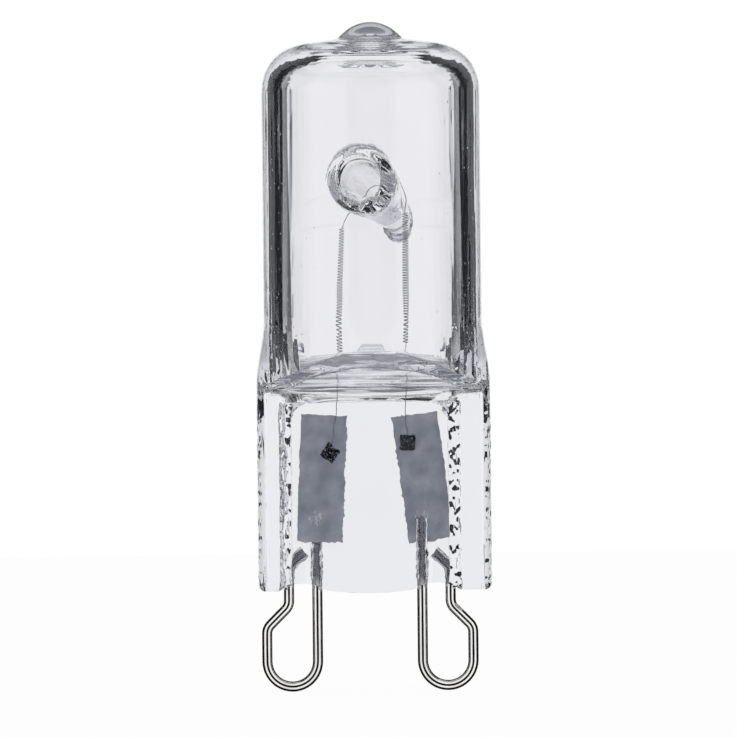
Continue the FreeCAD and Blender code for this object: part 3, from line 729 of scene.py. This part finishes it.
class Finish:
    """A material's node tree, with short ways to add its nodes."""

    def __init__(self, name):
        self.material = bpy.data.materials.new(name)
        self.material.use_nodes = True
        self.tree = self.material.node_tree
        self.shader = self.tree.nodes["Principled BSDF"]

    def node(self, kind, **settings):
        made = self.tree.nodes.new(kind)
        for key, value in settings.items():
            setattr(made, key, value)
        return made

    def join(self, output, socket):
        self.tree.links.new(output, socket)

    def at_place(self, scale=(1, 1, 1)):
        """The piece's own coordinates, stretched."""
        coords = self.node("ShaderNodeTexCoord")
        mapping = self.node("ShaderNodeMapping")
        mapping.inputs["Scale"].default_value = scale
        self.join(coords.outputs["Object"], mapping.inputs["Vector"])
        return mapping.outputs["Vector"]

    def grain(self, size, stretch=(1, 1, 1), detail=2):
        """Noise with features of a given size."""
        texture = self.node("ShaderNodeTexNoise")
        texture.inputs["Scale"].default_value = 1 / size
        texture.inputs["Detail"].default_value = detail
        self.join(self.at_place(stretch), texture.inputs["Vector"])
        return texture.outputs["Fac"]

    def spread(self, factor, low, high):
        """Noise turned into a range of values."""
        ranged = self.node("ShaderNodeMapRange")
        ranged.inputs["From Min"].default_value = NOISE_LOW
        ranged.inputs["From Max"].default_value = NOISE_HIGH
        ranged.inputs["To Min"].default_value = low
        ranged.inputs["To Max"].default_value = high
        self.join(factor, ranged.inputs["Value"])
        return ranged.outputs["Result"]

    def height(self, low, high):
        """0 below one height and 1 above another."""
        place = self.node("ShaderNodeSeparateXYZ")
        ranged = self.node("ShaderNodeMapRange")
        ranged.inputs["From Min"].default_value = low
        ranged.inputs["From Max"].default_value = high
        self.join(self.at_place(), place.inputs["Vector"])
        self.join(place.outputs["Z"], ranged.inputs["Value"])
        return ranged.outputs["Result"]

    def colours(self, factor, first, second, begins=0.32, ends=0.68):
        """A colour between two, by a factor."""
        ramp = self.node("ShaderNodeValToRGB")
        ramp.color_ramp.elements[0].position = begins
        ramp.color_ramp.elements[0].color = (*first, 1)
        ramp.color_ramp.elements[1].position = ends
        ramp.color_ramp.elements[1].color = (*second, 1)
        self.join(factor, ramp.inputs["Fac"])
        self.join(ramp.outputs["Color"], self.shader.inputs["Base Color"])
        return ramp.outputs["Color"]

    def marked(self, colour, factor, mark):
        """A colour covered by a mark's colour, by a factor."""
        cover = self.node("ShaderNodeMix", data_type="RGBA")
        self.join(factor, cover.inputs["Factor"])
        self.join(colour, cover.inputs[MIX_FIRST])
        cover.inputs[MIX_SECOND].default_value = (*mark, 1)
        self.join(cover.outputs[MIX_RESULT], self.shader.inputs["Base Color"])

    def product(self, first, second):
        """Two factors, one times the other."""
        times = self.node("ShaderNodeMath", operation="MULTIPLY")
        self.join(first, times.inputs[0])
        self.join(second, times.inputs[1])
        return times.outputs[0]

    def dents(self, factor, depth):
        """A surface raised by a factor."""
        bump = self.node("ShaderNodeBump")
        bump.inputs["Strength"].default_value = 1
        bump.inputs["Distance"].default_value = depth
        self.join(factor, bump.inputs["Height"])
        self.join(bump.outputs["Normal"], self.shader.inputs["Normal"])


def quartz():
    """Clear fused quartz with faint draw lines along the tube."""
    finish = Finish("clear_quartz")
    finish.shader.inputs["Transmission Weight"].default_value = 1
    finish.shader.inputs["IOR"].default_value = 1.458
    finish.shader.inputs["Roughness"].default_value = 0
    finish.colours(finish.grain(4 * MM), (0.965, 0.963, 0.98), (0.99, 0.986, 0.997))
    finish.dents(finish.grain(0.9 * MM, (1, 1, 0.06)), 0.001 * MM)
    return finish.material


def nickel():
    """Bright drawn wire with fine lines along it, scaled dark by the flame where the pinch holds it."""
    finish = Finish("nickel_wire")
    finish.shader.inputs["Metallic"].default_value = 1
    bright = finish.colours(finish.grain(1.2 * MM, (1, 1, 0.4)), (0.70, 0.685, 0.66), (0.86, 0.85, 0.83))
    finish.marked(bright, finish.height(SCALE_FOOT_Z, SCALE_TOP_Z), (0.2, 0.2, 0.22))
    draw_lines = finish.grain(0.1 * MM, (1, 1, 0.1))
    finish.join(finish.spread(draw_lines, 0.05, 0.12), finish.shader.inputs["Roughness"])
    finish.dents(finish.grain(0.06 * MM, (1, 1, 0.08)), 0.002 * MM)
    return finish.material


def molybdenum():
    """Dull grey-blue foil, clouded where it was etched, with a bright scar at the weld."""
    finish = Finish("molybdenum_foil")
    finish.shader.inputs["Metallic"].default_value = 0.5
    finish.shader.inputs["Roughness"].default_value = 0.5
    clouds = finish.colours(finish.grain(1.3 * MM, detail=6), (0.46, 0.49, 0.56), (0.78, 0.81, 0.88))
    scar = finish.node("ShaderNodeAttribute", attribute_name="scar").outputs["Fac"]
    scratches = finish.spread(finish.grain(0.09 * MM, (1, 1, 0.4), detail=3), -2.5, 4)
    finish.marked(clouds, finish.product(scar, scratches), (1, 1, 1))
    finish.dents(finish.grain(0.12 * MM, detail=3), 0.012 * MM)
    return finish.material


def weld():
    """Burnt weld, nearly black, with bright grains."""
    finish = Finish("burnt_weld")
    finish.shader.inputs["Metallic"].default_value = 0.8
    finish.shader.inputs["Roughness"].default_value = 0.25
    finish.colours(finish.grain(0.09 * MM, detail=2), (0.008, 0.008, 0.012), (0.7, 0.7, 0.75), 0.55, 0.68)
    finish.dents(finish.grain(0.07 * MM, detail=3), 0.03 * MM)
    return finish.material


def tungsten():
    """Grey filament wire."""
    finish = Finish("tungsten_wire")
    finish.shader.inputs["Metallic"].default_value = 1
    finish.shader.inputs["Roughness"].default_value = 0.35
    finish.colours(finish.grain(0.2 * MM), (0.35, 0.35, 0.37), (0.52, 0.52, 0.55))
    finish.dents(finish.grain(0.03 * MM), 0.002 * MM)
    return finish.material


def studio():
    """A white sweep behind the bulb between dark flags, white again below the horizon and far out.

    Seen through the glass, the flags darken the tube's sides, a beam overhead draws a line under the
    crown, and the table and the dark below it shade the shoulder. Metal mirrors a soft box and a glint.
    """
    world = bpy.data.worlds.new("studio")
    bpy.context.scene.world = world
    world.use_nodes = True
    tree = world.node_tree
    background = tree.nodes["Background"]

    def add(kind, **settings):
        made = tree.nodes.new(kind)
        for key, value in settings.items():
            setattr(made, key, value)
        return made

    def worked(operation, first, second=0):
        made = add("ShaderNodeMath", operation=operation)
        for socket, value in zip(made.inputs, (first, second)):
            if isinstance(value, bpy.types.NodeSocket):
                tree.links.new(value, socket)
            else:
                socket.default_value = value
        return made.outputs[0]

    def fade(share, edge, low=0, high=1):
        made = add("ShaderNodeMapRange", interpolation_type="SMOOTHSTEP")
        tree.links.new(share, made.inputs["Value"])
        for name, value in zip(("From Min", "From Max", "To Min", "To Max"), (*edge, low, high)):
            made.inputs[name].default_value = value
        return made.outputs["Result"]

    coords = add("ShaderNodeTexCoord")
    towards = add("ShaderNodeSeparateXYZ")
    tree.links.new(coords.outputs["Generated"], towards.inputs["Vector"])
    rays = add("ShaderNodeLightPath")
    ahead = towards.outputs["Y"]
    upward = towards.outputs["Z"]
    leaning_out = worked("MULTIPLY", worked("MAXIMUM", upward, 0), SWEEP_LEAN)
    sideways = worked("SUBTRACT", worked("ABSOLUTE", towards.outputs["X"]), leaning_out)

    sweep = fade(sideways, SWEEP_EDGE, 1, 0)
    low_wall = fade(upward, HORIZON, 1, 0)
    table = fade(upward, TABLE_EDGE, TABLE_LEVEL, 1)
    under = fade(upward, UNDER_EDGE, UNDER_LEVEL, 1)
    beam = worked("MULTIPLY", fade(upward, BEAM_FOOT), fade(upward, BEAM_TOP, 1, 0))
    behind = worked("MULTIPLY", worked("MAXIMUM", sweep, low_wall), table)
    far_out = fade(worked("SUBTRACT", 1, ahead), FAR_EDGE, 0, FAR_LEVEL)
    around = worked("MULTIPLY", worked("MAXIMUM", behind, far_out), worked("SUBTRACT", 1, beam))
    around = worked("MULTIPLY", around, under)
    seen_through = worked("MULTIPLY", around, fade(ahead, FRONT_EDGE, FRONT_DIM, 1))
    soft_box = worked("MULTIPLY", fade(ahead, BOX_NEAR_EDGE), fade(ahead, BOX_FAR_EDGE, FRONT_BOX, 0))
    mirrored = worked("ADD", fade(ahead, GLINT_EDGE), soft_box)

    through = rays.outputs["Is Transmission Ray"]
    glossy = worked("MAXIMUM", worked("SUBTRACT", rays.outputs["Is Glossy Ray"], through), 0)
    room = worked("ADD", worked("MULTIPLY", seen_through, through), worked("MULTIPLY", mirrored, glossy))
    room = worked("ADD", worked("MULTIPLY", room, SWEEP_LEVEL), FLAG_LEVEL)
    plain = worked("MULTIPLY", rays.outputs["Is Diffuse Ray"], PLAIN_LEVEL)
    level = worked("MAXIMUM", worked("MAXIMUM", room, plain), rays.outputs["Is Camera Ray"])
    cast = add("ShaderNodeValToRGB")
    cast.color_ramp.elements[0].color = (*FLAG_CAST, 1)
    cast.color_ramp.elements[1].color = (1, 1, 1, 1)
    tree.links.new(level, cast.inputs["Fac"])
    tree.links.new(cast.outputs["Color"], background.inputs["Color"])
    tree.links.new(level, background.inputs["Strength"])


def dark_card(name, place):
    """A black card behind the bulb, seen only through the glass, that draws a dark edge."""
    bm = bmesh.new()
    bmesh.ops.create_grid(bm, x_segments=1, y_segments=1, size=0.5, matrix=place)
    mesh = bpy.data.meshes.new(name)
    bm.to_mesh(mesh)
    bm.free()
    finish = Finish("black_card")
    finish.shader.inputs["Roughness"].default_value = 1
    finish.colours(finish.grain(3 * MM), (0.004, 0.005, 0.007), (0.008, 0.009, 0.012))
    mesh.materials.append(finish.material)
    card = bpy.data.objects.new(name, mesh)
    bpy.context.scene.collection.objects.link(card)
    card.visible_camera = False
    card.visible_glossy = False
    card.visible_diffuse = False
    card.visible_shadow = False


def dark_cards():
    """One card behind each side of the tube, which carries the dark bands down the flare."""
    upright = Matrix.Rotation(math.pi / 2, 4, "X")
    size = Matrix.Diagonal((CARD_FAR_X - CARD_NEAR_X, CARD_TOP_Z - CARD_FOOT_Z, 1, 1))
    out = (CARD_NEAR_X + CARD_FAR_X) / 2
    height = (CARD_FOOT_Z + CARD_TOP_Z) / 2
    for name, side in (("left_card", LEFT), ("right_card", RIGHT)):
        dark_card(name, Matrix.Translation((side * out, CARD_Y, height)) @ upright @ size)


def floor():
    """A pale floor under the pins, which keeps the shadow but shows in neither glass nor metal."""
    bm = bmesh.new()
    bmesh.ops.create_circle(
        bm, cap_ends=True, segments=96, radius=FLOOR_R, matrix=Matrix.Translation(UP * cad_box[0][2])
    )
    mesh = bpy.data.meshes.new("floor")
    bm.to_mesh(mesh)
    bm.free()
    material = bpy.data.materials.new("white_floor")
    material.use_nodes = True
    tree = material.node_tree
    shader = tree.nodes["Principled BSDF"]
    shader.inputs["Base Color"].default_value = (0.97, 0.97, 0.97, 1)
    shader.inputs["Roughness"].default_value = 0.9
    glow = tree.nodes.new("ShaderNodeEmission")
    rays = tree.nodes.new("ShaderNodeLightPath")
    blend = tree.nodes.new("ShaderNodeMixShader")
    seen = tree.nodes.new("ShaderNodeMath")
    seen.operation = "MULTIPLY"
    seen.inputs[1].default_value = FLOOR_GLOW
    tree.links.new(rays.outputs["Is Camera Ray"], seen.inputs[0])
    tree.links.new(seen.outputs[0], blend.inputs["Fac"])
    tree.links.new(shader.outputs["BSDF"], blend.inputs[1])
    tree.links.new(glow.outputs["Emission"], blend.inputs[2])
    tree.links.new(blend.outputs["Shader"], tree.nodes["Material Output"].inputs["Surface"])
    mesh.materials.append(material)
    ground = bpy.data.objects.new("floor", mesh)
    bpy.context.scene.collection.objects.link(ground)
    ground.visible_transmission = False
    ground.visible_glossy = False


def camera():
    """Level with the bulb, square to the pinch, a touch rolled."""
    lens = bpy.data.cameras.new("camera")
    lens.sensor_width = SENSOR_W
    lens.lens = SENSOR_W * LENS_DISTANCE / (PHOTO_W * PIXEL)
    lens.clip_start = 0.01
    eye = bpy.data.objects.new("camera", lens)
    eye.location = (LENS_X, -LENS_DISTANCE, LENS_Z)
    eye.rotation_euler = (math.pi / 2, LENS_ROLL, 0)
    bpy.context.scene.collection.objects.link(eye)
    bpy.context.scene.camera = eye


quartz_body()
contact_pin("left_contact_pin", LEFT, "left_foil")
contact_pin("right_contact_pin", RIGHT, "right_foil")
foil("left_foil", LEFT_LEAN, LEFT, "left_contact_pin")
foil("right_foil", RIGHT_LEAN, RIGHT, "right_contact_pin")
weld_tab("left_weld_tab", LEFT_TAB_TURN, 2)
weld_tab("right_weld_tab", RIGHT_TAB_TURN, 6)
filament()
studio()
dark_cards()
floor()
camera()
light_paths = bpy.context.scene.cycles
light_paths.max_bounces = 32
light_paths.glossy_bounces = 24
light_paths.transmission_bounces = 32
bpy.context.scene.view_settings.view_transform = "Standard"
